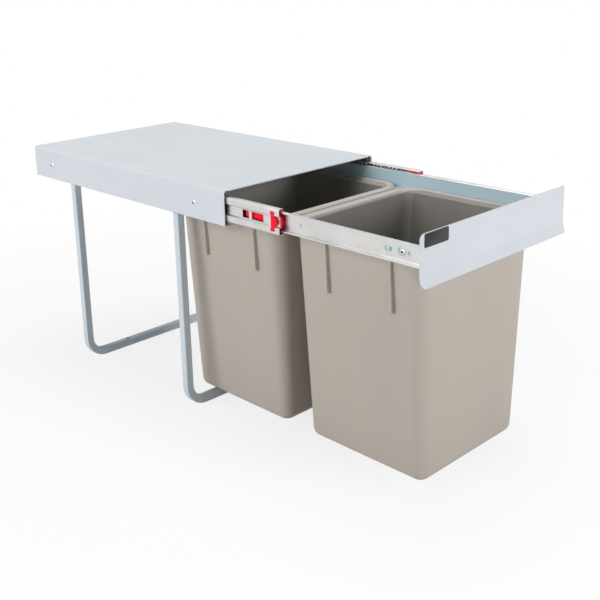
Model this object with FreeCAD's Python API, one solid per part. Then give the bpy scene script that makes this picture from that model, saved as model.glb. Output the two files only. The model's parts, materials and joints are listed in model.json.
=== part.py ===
import FreeCAD, Part
import math
import os

Vector = FreeCAD.Vector

# The part is a pull-out waste bin for a kitchen cabinet: a folded steel cover on two tube frames,
# three-member ball bearing slides, a drawer frame and two plastic bins.
# Millimetres. The origin is on the cabinet floor, in the middle of the four floor screws.
# The drawer opens towards -Y, +X is to the right seen from the front, and +Z is up.

# Cover
cover_width = 298.0
cover_length = 490.0
unit_height = 354.0
flange_height = 50.0
cover_sheet = 1.2
cover_bend = 4.6
lip_width = 13.0
lip_bend = 1.8
hem_depth = 9.0
hem_side_gap = 9.0
rear_lip_depth = 10.0

# Floor frames
tube_size = 12.0
tube_wall = 1.2
tube_corner_cut = 1.2
tube_inset = 0.5
frame_spacing = 270.0
foot_bend = 35.0
floor_hole_spacing = 130.0
floor_hole_radius = 2.75

# Slides: u is the depth from the flange towards the drawer, v the height from the slide's middle
slide_length = 450.0
slide_height = 45.0
slide_depth = 12.7
slide_sheet = 1.2
ball_radius = 1.8
ball_clearance = 0.1
slide_floor_gap = 0.3
slide_setback = 3.0
race_lip = 1.2
wrap_lip = 0.8
wrap_gap = 1.1
web_recess = 2.3
web_half_height = 6.5
web_slope = 1.7
inner_tip_u = 6.3
inner_tip_rise = 0.4
inner_bend = 1.4
stop_tab_height = 10.0
stop_tab_overlap = 0.9
stop_setback = 1.5

# Windows in the middle member's web, measured back from its front end
window_front_y = 31.0
window_front_length = 22.5
window_gap = 5.5
window_rear_length = 12.5
window_height = 10.4

# Ball cages. The balls of each row stand in groups.
cage_sheet = 0.5
cage_clearance = 0.1
pocket_clearance = 0.15
cage_length = 120.0
ball_pitch = 7.0
group_pitch = 30.0
inner_group_count = 3
inner_group_ball_count = 3
outer_group_count = 2
outer_group_ball_count = 2
inner_cage_from_front = 37.0
outer_cage_from_front = 173.0
first_ball_from_end = 8.0
fork_length = 40.0
fork_half_height = 10.5

# Bumpers
tongue_thickness = 1.5
tongue_depth = 1.8
tongue_half_height = 6.2
tongue_end_from_front = 73.0
bumper_clearance = 0.15
collar_depth = 5.0
collar_clearance = 0.35
nose_half_height = 10.5
nose_reach = 1.2
nose_bulge = 4.2
clip_sheet = 0.5
clip_from_front = 4.5
clip_length = 7.5
clip_half_height = 13.2
clip_end_height = 4.2
clip_disc_radius = 5.6
clip_waist = 4.0
clip_neck_half_height = 3.0
clip_neck_length = 5.0

# Drawer at rest, as in the photo
inner_pull = 224.0
outer_pull = 104.0
front_gap = 1.5
panel_sheet = 1.5
panel_top_rise = 3.5
panel_flat_height = 48.0
panel_flare_height = 15.5
panel_flare_reach = 3.6
panel_bend = 12.0
panel_left_corner = 8.0
panel_right_corner = 1.5
frame_sheet = 1.2
frame_height = 25.0
frame_bend = 1.8
frame_top_drop = 0.5
drawer_length = 490.0
ledge_gap = 0.6
frame_end_ledge = 12.0
inner_setback = 1.5

# Fixings between the inner members and the drawer sides, measured back from the member's front end
small_hole_radius = 2.4
small_hole_front = 22.0
small_hole_rear = 195.0
lock_slot_y = 32.5
lock_slot_radius = 4.7
lock_slot_length = 13.0
hook_slot_y = 53.0
hook_slot_length = 11.0
hook_slot_height = 6.0
hook_gap = 0.4
hook_reach = 1.9
rear_fixing_shift = 375.0

# Screws. Small round bars and holes have twelve flats, which touch the true circle.
flange_screw_front = 63.0
flange_screw_rear = 54.0
flange_screw_radius = 2.0
screw_head_radius = 4.0
screw_head_height = 2.4
lock_screw_radius = 2.0
lock_head_radius = 3.8
lock_head_height = 1.8
screw_fit = 0.1
head_edge_cut = 0.9
round_flats = 12

# Bins
bin_height = 306.0
bin_gap = 4.0
bin_front_gap = 9.0
rim_length = 236.0
rim_side_gap = 2.4
rim_corner = 38.0
rim_drop = 6.8
rim_plate = 2.2
rim_edge_cut = 2.4
bin_wall = 2.0
rim_reach_x = 13.5
rim_reach_y = 13.0
bin_taper_x = 20.0
bin_taper_y = 11.0
bin_corner = 28.0
bin_foot_cut = 8.0
bin_foot_corner = 38.0
fin_thickness = 3.0
fin_spacing = 105.0
fin_shift = -8.0
fin_drop = 79.0
fin_top_proud = 5.0
fin_foot_proud = 6.8
fin_bevel = 3.0

# Lengths under this count as nothing
near_zero = 1e-6

# Places worked out from the sizes above
flange_x = cover_width / 2
slide_x = flange_x - cover_sheet
cover_front = -cover_length / 2
slide_z = unit_height - flange_height + cover_sheet + slide_floor_gap + slide_height / 2
race_radius = ball_radius + ball_clearance
outer_ball_v = slide_height / 2 - slide_sheet - race_radius
outer_ball_u = slide_sheet + race_radius
middle_half_height = outer_ball_v - race_radius
inner_ball_v = middle_half_height - slide_sheet - race_radius
inner_ball_u = slide_depth - wrap_gap - slide_sheet - race_radius
inner_half_height = inner_ball_v - race_radius
band_u = slide_sheet + cage_sheet + 2 * cage_clearance
web_u = band_u + web_recess
web_back_u = web_u + slide_sheet
outer_front = cover_front + slide_setback
middle_front = outer_front - stop_setback - outer_pull
drawer_front = cover_front - front_gap - inner_pull - outer_pull
inner_front = drawer_front + inner_setback
drawer_side_x = slide_x - slide_depth
side_inner_x = drawer_side_x - frame_sheet
frame_top = slide_z + inner_half_height - frame_top_drop
ledge_z = frame_top - frame_height
rest_z = ledge_z + frame_sheet
bin_top = rest_z + rim_drop
bin_foot = bin_top - bin_height
rim_half_x = side_inner_x - rim_side_gap
rim_half_y = rim_length / 2
bin_top_half_x = rim_half_x - rim_reach_x
bin_top_half_y = rim_half_y - rim_reach_y
bin_foot_half_x = bin_top_half_x - bin_taper_x
bin_foot_half_y = bin_top_half_y - bin_taper_y
rib_outer_x = bin_top_half_x + fin_top_proud
ledge_x = rib_outer_x + ledge_gap
inner_ball_groups = (inner_group_count, inner_group_ball_count)
outer_ball_groups = (outer_group_count, outer_group_ball_count)
first_bin_y = drawer_front + frame_sheet + bin_front_gap + rim_half_y
second_bin_y = first_bin_y + rim_length + bin_gap


def line(a, b):
    """A straight edge."""
    return Part.LineSegment(a, b).toShape()


def arc(a, middle, b):
    """A round edge through three points."""
    return Part.Arc(a, middle, b).toShape()


def box(low, high):
    """A block between two corners."""
    size = [high[i] - low[i] for i in range(3)]
    return Part.makeBox(size[0], size[1], size[2], Vector(*low))


def strip_side(corners, bends, shift):
    """One face of a bent sheet: its middle line moved sideways, with each bend's radius to suit.

    A bend of 0 is a sharp corner."""
    steps = [(corners[i + 1] - corners[i]).normalize() for i in range(len(corners) - 1)]
    normals = [Vector(-s.y, s.x, 0) for s in steps]
    runs = [(corners[0] + normals[0] * shift, None)]
    for i in range(1, len(corners) - 1):
        n0 = normals[i - 1]
        n1 = normals[i]
        corner = corners[i] + (n0 + n1) * (shift / (1 + n0.dot(n1)))
        if not bends[i - 1]:
            runs.append((corner, None))
            continue
        turn = steps[i - 1].x * steps[i].y - steps[i - 1].y * steps[i].x
        radius = bends[i - 1] - math.copysign(1, turn) * shift
        angle = math.acos(max(-1.0, min(1.0, steps[i - 1].dot(steps[i]))))
        reach = radius * math.tan(angle / 2)
        start = corner - steps[i - 1] * reach
        end = corner + steps[i] * reach
        inward = (steps[i] - steps[i - 1]).normalize()
        centre = corner + inward * (radius / math.cos(angle / 2))
        runs.append((start, (centre - inward * radius, end)))
    runs.append((corners[-1] + normals[-1] * shift, None))
    return runs


def strip_edges(runs, place):
    """The edges of one face of a bent sheet, from its first end to its last."""
    edges = []
    here = runs[0][0]
    for point, bend in runs[1:]:
        if here.distanceToPoint(point) > near_zero:
            edges.append(line(place(here), place(point)))
        here = point
        if bend:
            edges.append(arc(place(point), place(bend[0]), place(bend[1])))
            here = bend[1]
    return edges


def bent_sheet(corners, bends, sheet, place, travel):
    """A sheet folded along its middle line, as a solid of the given travel."""
    path = [Vector(a, b, 0) for a, b in corners]
    left = strip_side(path, bends, sheet / 2)
    right = strip_side(path, bends, -sheet / 2)
    edges = strip_edges(left, place) + strip_edges(right, place)
    edges.append(line(place(left[0][0]), place(right[0][0])))
    edges.append(line(place(left[-1][0]), place(right[-1][0])))
    wire = Part.Wire(Part.sortEdges(edges)[0])
    return Part.Face(wire).extrude(travel)


def across(y):
    """Places a section drawn as (x, z) at one depth."""
    return lambda p: Vector(p.x, y, p.y)


def along(x):
    """Places a section drawn as (y, z) at one width."""
    return lambda p: Vector(x, p.x, p.y)


def slide_section(y):
    """Places a section drawn as (u, v) in the left slide."""
    return lambda p: Vector(-slide_x + p.x, y, slide_z + p.y)


def slide_box(u0, u1, v0, v1, y0, y1):
    """A block in the left slide."""
    return box((-slide_x + u0, y0, slide_z + v0), (-slide_x + u1, y1, slide_z + v1))


def round_bar(radius, start, travel):
    """A round bar or hole cutter, square to Y, from start to start + travel."""
    reach = radius / math.cos(math.pi / round_flats)
    points = []
    for i in range(round_flats + 1):
        turn = FreeCAD.Rotation(travel, 360 * (i + 0.5) / round_flats)
        points.append(start + turn.multVec(Vector(0, reach, 0)))
    return Part.Face(Part.makePolygon(points)).extrude(travel)


def cross_hole(radius, y, z):
    """A round cutter across the left slide and flange."""
    start = Vector(-flange_x - slide_depth, y, z)
    return round_bar(radius, start, Vector(3 * slide_depth, 0, 0))


def obround(length, radius, y, z, x0, x1):
    """A slot cutter with round ends, lying along Y."""
    reach = length / 2 - radius
    slot = box((x0, y - reach, z - radius), (x1, y + reach, z + radius))
    travel = Vector(x1 - x0, 0, 0)
    ends = [round_bar(radius, Vector(x0, y + end, z), travel) for end in (-reach, reach)]
    return slot.fuse(ends)


def mirrored(shape):
    """The same piece for the right-hand side."""
    return shape.mirror(Vector(0, 0, 0), Vector(1, 0, 0))


def flange_screw_places():
    """Depths of the two screws in each flange."""
    return (cover_front + flange_screw_front, -cover_front - flange_screw_rear)


def make_cover():
    """Folded cover: top, two flanges with inward lips, a folded front edge and a rear lip."""
    half = cover_sheet / 2
    side = flange_x - half
    top = unit_height - half
    foot = unit_height - flange_height + half
    corners = [
        (-flange_x + lip_width, foot),
        (-side, foot),
        (-side, top),
        (side, top),
        (side, foot),
        (flange_x - lip_width, foot),
    ]
    bends = [lip_bend, cover_bend, cover_bend, lip_bend]
    travel = Vector(0, cover_length, 0)
    cover = bent_sheet(corners, bends, cover_sheet, across(cover_front), travel)
    hem_half = flange_x - hem_side_gap
    trim = box(
        (-hem_half, cover_front, unit_height - cover_sheet),
        (hem_half, cover_front + cover_sheet, unit_height),
    )
    cover = cover.cut(trim)
    hem = make_hem(hem_half)
    rear_lip = box(
        (-hem_half, -cover_front - cover_sheet, unit_height - rear_lip_depth),
        (hem_half, -cover_front, unit_height - half),
    )
    cover = cover.fuse([hem, rear_lip]).removeSplitter()
    for y in flange_screw_places():
        hole = cross_hole(flange_screw_radius + screw_fit, y, slide_z)
        cover = cover.cut([hole, mirrored(hole)])
    return cover


def make_hem(hem_half):
    """The folded front edge: a round nose and a strip folded back under the top."""
    nose_y = cover_front + cover_sheet
    back_y = cover_front + hem_depth
    under = unit_height - cover_sheet
    foot = under - cover_sheet
    x = -hem_half
    points = [
        Vector(x, nose_y, foot),
        Vector(x, back_y, foot),
        Vector(x, back_y, under),
        Vector(x, nose_y, under),
        Vector(x, nose_y, unit_height),
    ]
    edges = [line(a, b) for a, b in zip(points, points[1:])]
    edges.append(arc(points[-1], Vector(x, cover_front, under), points[0]))
    return Part.Face(Part.Wire(edges)).extrude(Vector(2 * hem_half, 0, 0))


def tube_outline(half, cut, x, y):
    """A square across a leg, with its corners cut off. A cut of 0 leaves them sharp."""
    points = []
    for sx, sy in ((1, -1), (1, 1), (-1, 1), (-1, -1)):
        level = Vector(x + sx * (half - cut), y + sy * half, 0)
        upright = Vector(x + sx * half, y + sy * (half - cut), 0)
        pair = [upright, level] if sx == sy else [level, upright]
        points.extend(pair if cut else pair[:1])
    return Part.makePolygon(points + points[:1])


def rounded_wire(half_x, half_y, corner, z, centre):
    """A level rectangle with round corners."""
    cx, cy = centre
    slack = corner * (1 - math.sqrt(0.5))
    edges = []
    turns = ((1, -1), (1, 1), (-1, 1), (-1, -1))
    points = []
    for sx, sy in turns:
        tip = Vector(cx + sx * half_x, cy + sy * half_y, z)
        beside = Vector(tip.x, tip.y - sy * corner, z)
        below = Vector(tip.x - sx * corner, tip.y, z)
        middle = Vector(tip.x - sx * slack, tip.y - sy * slack, z)
        first, last = (below, beside) if sx == -sy else (beside, below)
        points.append((first, middle, last))
    for i, (first, middle, last) in enumerate(points):
        edges.append(arc(first, middle, last))
        edges.append(line(last, points[(i + 1) % 4][0]))
    return Part.Wire(edges)


def tube_frame_solid(half, cut, y):
    """A U of square bar: two legs, two quarter bends and a floor run."""
    leg_x = flange_x - tube_inset - tube_size / 2
    bend = foot_bend - tube_size / 2
    leg_top = unit_height - flange_height
    face = Part.Face(tube_outline(half, cut, -leg_x, y))
    face.translate(Vector(0, 0, foot_bend))
    leg = face.extrude(Vector(0, 0, leg_top - foot_bend))
    pivot = Vector(-leg_x + bend, y, foot_bend)
    turn = face.revolve(pivot, Vector(0, -1, 0), 90)
    side = leg.fuse(turn)
    run_face = face.copy()
    run_face.rotate(pivot, Vector(0, -1, 0), 90)
    run = run_face.extrude(Vector(2 * (leg_x - bend), 0, 0))
    return side.fuse([mirrored(side), run]).removeSplitter()


def make_floor_frame(y):
    """Hollow U frame with two floor screw holes."""
    outside = tube_frame_solid(tube_size / 2, tube_corner_cut, y)
    inside = tube_frame_solid(tube_size / 2 - tube_wall, 0, y)
    frame = outside.cut(inside)
    for x in (-floor_hole_spacing / 2, floor_hole_spacing / 2):
        start = Vector(x, y, -tube_size / 2)
        frame = frame.cut(Part.makeCylinder(floor_hole_radius, 2 * tube_size, start))
    return frame


def make_slide_outer():
    """Outer member: a web with a round ball channel along each edge, and a stop tab at its rear."""
    half = slide_sheet / 2
    web = half
    edge = slide_height / 2 - half
    far = outer_ball_u + race_radius + half
    lip = outer_ball_v - race_lip
    corners = [(far, lip), (far, edge), (web, edge), (web, -edge), (far, -edge), (far, -lip)]
    turn = race_radius + half
    travel = Vector(0, slide_length, 0)
    member = bent_sheet(corners, [turn] * 4, slide_sheet, slide_section(outer_front), travel)
    rear = outer_front + slide_length
    depth = web_u + stop_tab_overlap
    tab = slide_box(
        half, depth, -stop_tab_height / 2, stop_tab_height / 2, rear - slide_sheet, rear
    )
    member = member.fuse(tab).removeSplitter()
    for y in flange_screw_places():
        member = member.cut(cross_hole(flange_screw_radius + screw_fit, y, slide_z))
    return member


def make_slide_middle():
    """Middle member: two raised bands, a recessed web with windows, and arms round the inner balls."""
    half = slide_sheet / 2
    band = band_u + half
    web = web_u + half
    arm = middle_half_height - half
    far = inner_ball_u + race_radius + half
    lip = inner_ball_v - wrap_lip
    step = web_half_height + web_slope
    upper = [(far, lip), (far, arm), (band, arm), (band, step), (web, web_half_height)]
    lower = [(u, -v) for u, v in reversed(upper)]
    turn = race_radius + half
    one_side = [turn, lip_bend, 0, 0]
    bends = one_side + one_side[::-1]
    travel = Vector(0, slide_length, 0)
    member = bent_sheet(upper + lower, bends, slide_sheet, slide_section(middle_front), travel)
    rear_window = window_front_y + window_front_length + window_gap
    windows = (
        (window_front_y, window_front_length),
        (rear_window, window_rear_length),
    )
    for start, length in windows:
        y0 = middle_front + start
        member = member.cut(
            slide_box(0, slide_depth, -window_height / 2, window_height / 2, y0, y0 + length)
        )
    y0, y1 = clip_neck_range(bumper_clearance)
    reach = clip_neck_half_height + bumper_clearance
    return member.cut(slide_box(0, slide_depth, -reach, reach, y0, y1))


def hook_places():
    """Distances of the hook slots from the inner member's front end."""
    return (hook_slot_y, hook_slot_y + rear_fixing_shift)


def lock_places():
    """Distances of the locking screws from the inner member's front end."""
    return (lock_slot_y, lock_slot_y + rear_fixing_shift)


def make_slide_inner():
    """Inner member: a channel on the drawer side, with hook slots, screw slots and small holes."""
    half = slide_sheet / 2
    web = slide_depth - half
    arm = inner_half_height - half
    tip_u = inner_tip_u + half
    tip = inner_half_height + inner_tip_rise
    corners = [(tip_u, tip), (tip_u, arm), (web, arm), (web, -arm), (tip_u, -arm), (tip_u, -tip)]
    bends = [0, inner_bend, inner_bend, 0]
    travel = Vector(0, slide_length, 0)
    member = bent_sheet(corners, bends, slide_sheet, slide_section(inner_front), travel)
    x0 = -slide_x + slide_depth - 2 * slide_sheet
    x1 = -slide_x + slide_depth + slide_sheet
    cuts = []
    for place in hook_places():
        y = inner_front + place
        cuts.append(obround(hook_slot_length, hook_slot_height / 2, y, slide_z, x0, x1))
    for place in lock_places():
        y = inner_front + place
        cuts.append(obround(lock_slot_length, lock_slot_radius, y, slide_z, x0, x1))
    for place in (small_hole_front, small_hole_rear):
        y = inner_front + place
        cuts.append(cross_hole(small_hole_radius, y, slide_z))
    return member.cut(cuts)


def cage_strip(u_web, u_tip, v_arm, y0):
    """A thin channel that holds both rows of balls."""
    half = cage_sheet / 2
    corners = [(u_tip, v_arm), (u_web + half, v_arm), (u_web + half, -v_arm), (u_tip, -v_arm)]
    travel = Vector(0, cage_length, 0)
    return bent_sheet(corners, [0, 0], cage_sheet, slide_section(y0), travel)


def ball_steps(groups):
    """Distances of the balls in one row from the cage's front end, in groups."""
    group_count, ball_count = groups
    return [
        first_ball_from_end + group * group_pitch + ball * ball_pitch
        for group in range(group_count)
        for ball in range(ball_count)
    ]


def ball_centres(y0, groups, u, v):
    """Centres of the left slide's balls in both rows."""
    return [
        Vector(-slide_x + u, y0 + step, slide_z + row * v)
        for row in (-1, 1)
        for step in ball_steps(groups)
    ]


def pocket_cutters(centres):
    """Square notches for the balls, open towards the cage's tips."""
    reach = ball_radius + pocket_clearance
    corner = Vector(reach, reach, reach)
    return [box(c - corner, c + corner) for c in centres]


def outer_cage_y():
    """Front end of the outer cages."""
    return middle_front + outer_cage_from_front


def inner_cage_y():
    """Front end of the inner cages."""
    return middle_front + inner_cage_from_front


def make_outer_cage():
    """Cage between the outer and middle members."""
    y0 = outer_cage_y()
    u_web = slide_sheet + cage_clearance
    u_tip = outer_ball_u + ball_radius
    cage = cage_strip(u_web, u_tip, outer_ball_v, y0)
    return cage.cut(pocket_cutters(ball_centres(y0, outer_ball_groups, outer_ball_u, outer_ball_v)))


def make_inner_cage():
    """Cage between the middle and inner members, forked at its front to pass the bumper's tongue."""
    y0 = inner_cage_y()
    u_web = web_back_u + cage_clearance
    u_tip = inner_ball_u + ball_radius
    cage = cage_strip(u_web, u_tip, inner_ball_v, y0)
    fork = slide_box(0, slide_depth, -fork_half_height, fork_half_height, y0, y0 + fork_length)
    cutters = pocket_cutters(ball_centres(y0, inner_ball_groups, inner_ball_u, inner_ball_v))
    return cage.cut([fork] + cutters)


def make_ball():
    """One ball at the origin, drawn with fourteen flats: a cube cut by an eight-sided block."""
    origin = Vector(0, 0, 0)
    half = ball_radius / math.sqrt(2)
    cube = box((-half, -half, -half), (half, half, half))
    pyramid = Part.makeWedge(
        -ball_radius, 0, -ball_radius, 0, 0, ball_radius, 2 * half, ball_radius, 0, 0
    )
    pyramid.rotate(origin, Vector(0, 1, 0), 45)
    block = pyramid.fuse(pyramid.mirror(origin, Vector(0, 1, 0)))
    return cube.common(block).removeSplitter()


def make_balls(centres):
    """Steel balls of one stage, left and right, as separate solids."""
    ball = make_ball()
    balls = []
    for centre in centres:
        one = ball.translated(centre)
        balls.extend([one, mirrored(one)])
    return Part.makeCompound(balls)


def clip_neck_range(clearance):
    """Front and rear of the neck that joins the bumper's clip and tongue."""
    rear = middle_front + clip_from_front + clip_disc_radius * 2
    return (rear - clip_neck_length - clearance, rear + clearance)


def make_bumper():
    """Red plastic bumper: tongue behind the web, corners in the races, a curved nose and a clip."""
    u0 = web_back_u + bumper_clearance
    tongue_u = web_back_u + tongue_depth
    front = middle_front
    tongue = slide_box(
        tongue_u,
        tongue_u + tongue_thickness,
        -tongue_half_height,
        tongue_half_height,
        front,
        front + tongue_end_from_front,
    )
    race_top = middle_half_height - slide_sheet - collar_clearance
    race_foot = inner_half_height + inner_tip_rise + collar_clearance
    race_far = inner_ball_u + ball_radius / 2
    plate = slide_box(
        u0, inner_tip_u - collar_clearance, -race_top, race_top, front, front + collar_depth
    )
    pieces = [plate]
    for low, high in ((race_foot, race_top), (-race_top, -race_foot)):
        pieces.append(slide_box(u0, race_far, low, high, front, front + collar_depth))
    nose_y = front - nose_reach
    low = Vector(-slide_x + u0, nose_y, slide_z - nose_half_height)
    bulge = Vector(-slide_x + u0 + nose_bulge, nose_y, slide_z)
    high = Vector(-slide_x + u0, nose_y, slide_z + nose_half_height)
    nose = Part.Face(Part.Wire([arc(low, bulge, high), line(high, low)]))
    pieces.append(nose.extrude(Vector(0, nose_reach + collar_depth, 0)))
    pieces.extend(clip_pieces(tongue_u))
    return tongue.fuse(pieces).removeSplitter()


def clip_pieces(tongue_u):
    """The clip on the outside of the middle member, with the neck that holds it."""
    outside = band_u - bumper_clearance
    clip_u = outside - clip_sheet
    rear = middle_front + clip_from_front + clip_disc_radius * 2
    end_y0 = rear - clip_length
    end_low = clip_half_height - clip_end_height
    pieces = []
    for low, high in ((end_low, clip_half_height), (-clip_half_height, -end_low)):
        pieces.append(slide_box(clip_u, outside, low, high, end_y0, rear))
    waist_y = rear - clip_waist
    pieces.append(slide_box(clip_u, outside, -clip_half_height, clip_half_height, waist_y, rear))
    disc_y = middle_front + clip_from_front + clip_disc_radius
    disc_start = Vector(-slide_x + clip_u, disc_y, slide_z)
    disc_thickness = web_u - bumper_clearance - clip_u
    pieces.append(round_bar(clip_disc_radius, disc_start, Vector(disc_thickness, 0, 0)))
    neck_y0, neck_y1 = clip_neck_range(0)
    pieces.append(
        slide_box(clip_u, tongue_u, -clip_neck_half_height, clip_neck_half_height, neck_y0, neck_y1)
    )
    return pieces


def make_frame_side():
    """Left drawer side: an upright with a ledge for the bin rims, hook tabs and screw holes."""
    half = frame_sheet / 2
    x = -drawer_side_x + half
    corners = [(x, frame_top), (x, ledge_z + half), (-ledge_x, ledge_z + half)]
    travel = Vector(0, drawer_length, 0)
    side = bent_sheet(corners, [frame_bend], frame_sheet, across(drawer_front), travel)
    tabs = []
    for place in hook_places():
        y = inner_front + place
        reach = hook_slot_length / 2 - hook_slot_height / 2
        low = hook_slot_height / 2 - hook_gap
        tabs.append(
            box(
                (-drawer_side_x - hook_reach, y - reach, slide_z - low),
                (-drawer_side_x + half, y - reach + frame_sheet, slide_z + low),
            )
        )
    side = side.fuse(tabs).removeSplitter()
    holes = [
        cross_hole(lock_screw_radius + screw_fit, inner_front + place, slide_z)
        for place in lock_places()
    ]
    return side.cut(holes)


def frame_end(y, inward):
    """A cross angle between the drawer sides. inward is +1 at the front and -1 at the rear."""
    half = frame_sheet / 2
    middle = y + inward * half
    corners = [
        (middle, frame_top),
        (middle, ledge_z + half),
        (y + inward * frame_end_ledge, ledge_z + half),
    ]
    travel = Vector(2 * side_inner_x, 0, 0)
    angle = bent_sheet(corners, [frame_bend], frame_sheet, along(-side_inner_x), travel)
    notches = []
    depth = frame_bend + half
    low_y, high_y = sorted((y, y + inward * 2 * frame_end_ledge))
    for x0, x1 in ((-side_inner_x, -ledge_x), (ledge_x, side_inner_x)):
        notches.append(box((x0, low_y, ledge_z), (x1, high_y, ledge_z + depth)))
    return angle.cut(notches)


def panel_outline():
    """The front panel seen from the front, with rounder corners on the left."""
    left = -flange_x
    right = flange_x
    top = unit_height + panel_top_rise
    foot = top - panel_flat_height - panel_flare_height
    y = drawer_front - panel_sheet - panel_flare_reach * 2
    corners = [
        (left, top, panel_left_corner, 1, -1),
        (right, top, panel_right_corner, -1, -1),
        (right, foot, panel_right_corner, -1, 1),
        (left, foot, panel_left_corner, 1, 1),
    ]
    points = []
    for x, z, radius, sx, sz in corners:
        slack = radius * (1 - math.sqrt(0.5))
        side = Vector(x, y, z + sz * radius)
        level = Vector(x + sx * radius, y, z)
        middle = Vector(x + sx * slack, y, z + sz * slack)
        first, last = (side, level) if sx == -sz else (level, side)
        points.append((first, middle, last))
    edges = []
    for i, (first, middle, last) in enumerate(points):
        edges.append(arc(first, middle, last))
        edges.append(line(last, points[(i + 1) % 4][0]))
    return Part.Face(Part.Wire(edges)).extrude(Vector(0, panel_flare_reach * 4, 0))


def make_front_panel():
    """Flat front panel whose lower edge flares forward as a grip."""
    y = drawer_front - panel_sheet / 2
    top = unit_height + panel_top_rise
    bend_z = top - panel_flat_height
    corners = [(y, top), (y, bend_z), (y - panel_flare_reach, bend_z - panel_flare_height)]
    travel = Vector(cover_width, 0, 0)
    sheet = bent_sheet(corners, [panel_bend], panel_sheet, along(-flange_x), travel)
    return sheet.common(panel_outline())


def taper_at(top_value, foot_value, z):
    """A bin size at one height, on a straight taper between rim and foot."""
    share = (bin_top - z) / bin_height
    return top_value + (foot_value - top_value) * share


def rounded_wedge(low_half, low, high_half, high, corner, centre_y):
    """A tapered block with round upright corners. The half sizes are pairs along X and Y."""
    low_x, low_y = low_half
    high_x, high_y = high_half
    body = Part.makeWedge(
        -low_x, low, -low_y, -high_y, -high_x, low_x, high, low_y, high_y, high_x
    )
    body.rotate(Vector(0, 0, 0), Vector(1, 0, 0), 90)
    body.translate(Vector(0, centre_y, 0))
    return body.makeFillet(corner, [e for e in body.Edges if e.BoundBox.ZLength > bin_corner])


def tapered_body(inset, low, high, foot_cut, centre_y):
    """A tapered body with round upright corners and a bevel round its foot."""
    low_x, high_x = [taper_at(bin_top_half_x, bin_foot_half_x, z) - inset for z in (low, high)]
    low_y, high_y = [taper_at(bin_top_half_y, bin_foot_half_y, z) - inset for z in (low, high)]
    corner = bin_corner - inset
    body = rounded_wedge((low_x, low_y), low, (high_x, high_y), high, corner, centre_y)
    foot = (low_x - foot_cut, low_y - foot_cut)
    rise = high - low
    spread = (foot[0] + rise, foot[1] + rise)
    bevel = rounded_wedge(foot, low, spread, high, bin_foot_corner - inset, centre_y)
    return body.common(bevel)


def rim_solid(inset, low, high, centre_y):
    """A level block with the rim's outline."""
    half_x = rim_half_x - inset
    half_y = rim_half_y - inset
    wire = rounded_wire(half_x, half_y, rim_corner - inset, low, (0, centre_y))
    return Part.Face(wire).extrude(Vector(0, 0, high - low))


def fin(y, side):
    """A stiffening fin under the rim. side is -1 on the left and +1 on the right."""
    top = bin_top - rim_plate
    foot = bin_top - fin_drop
    wall_top = taper_at(bin_top_half_x, bin_foot_half_x, top) - bin_wall / 2
    wall_foot = taper_at(bin_top_half_x, bin_foot_half_x, foot)
    points = [
        (wall_top, top),
        (bin_top_half_x + fin_top_proud, top),
        (wall_foot + fin_foot_proud, foot + fin_bevel),
        (wall_foot + fin_foot_proud - fin_bevel, foot),
        (wall_foot - bin_wall / 2, foot),
    ]
    corners = [Vector(side * x, y - fin_thickness / 2, z) for x, z in points]
    wire = Part.makePolygon(corners + corners[:1])
    return Part.Face(wire).extrude(Vector(0, fin_thickness, 0))


def make_bin(centre_y):
    """Tapered plastic bin with a bevelled foot, a turned-down rim and two fins on each long side."""
    outside = tapered_body(0, bin_foot, bin_top, bin_foot_cut, centre_y)
    rim = rim_solid(0, rest_z, bin_top, centre_y)
    edges = [e for e in rim.Edges if e.BoundBox.ZMin > bin_top - near_zero]
    rim = rim.makeChamfer(rim_edge_cut, edges)
    hollow = rim_solid(bin_wall, rest_z - bin_wall, bin_top - rim_plate, centre_y).cut(outside)
    rim = rim.cut(hollow)
    fins = [
        fin(centre_y + fin_shift + end * fin_spacing / 2, side)
        for side in (-1, 1)
        for end in (-1, 1)
    ]
    body = outside.fuse([rim] + fins).removeSplitter()
    foot_cut = bin_foot_cut - bin_wall * (2 - math.sqrt(2))
    inside = tapered_body(
        bin_wall, bin_foot + bin_wall, bin_top + bin_wall, foot_cut, centre_y
    )
    return body.cut(inside)


def screw(head_radius, head_height, shank_radius, shank_length, seat):
    """A pan head screw on the left side, head outwards. seat is under the head."""
    head = round_bar(head_radius, seat, Vector(-head_height, 0, 0))
    top = [e for e in head.Edges if e.BoundBox.XMax < seat.x - head_height / 2]
    head = head.makeChamfer(head_edge_cut, top)
    shank = round_bar(shank_radius, seat, Vector(shank_length, 0, 0))
    return head.fuse(shank)


def make_flange_screws():
    """Four screws through the flanges into the outer members."""
    screws = []
    length = cover_sheet + slide_sheet
    for y in flange_screw_places():
        seat = Vector(-flange_x, y, slide_z)
        one = screw(screw_head_radius, screw_head_height, flange_screw_radius, length, seat)
        screws.extend([one, mirrored(one)])
    return Part.makeCompound(screws)


def make_frame_screws():
    """Four locking screws that seat on the drawer sides inside the inner members' slots."""
    screws = []
    length = frame_sheet
    for place in lock_places():
        seat = Vector(-drawer_side_x, inner_front + place, slide_z)
        one = screw(lock_head_radius, lock_head_height, lock_screw_radius, length, seat)
        screws.extend([one, mirrored(one)])
    return Part.makeCompound(screws)


def both_sides(name, shape):
    """The left piece and its mirror image, under their two names."""
    return {name + "_left": shape, name + "_right": mirrored(shape)}


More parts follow.
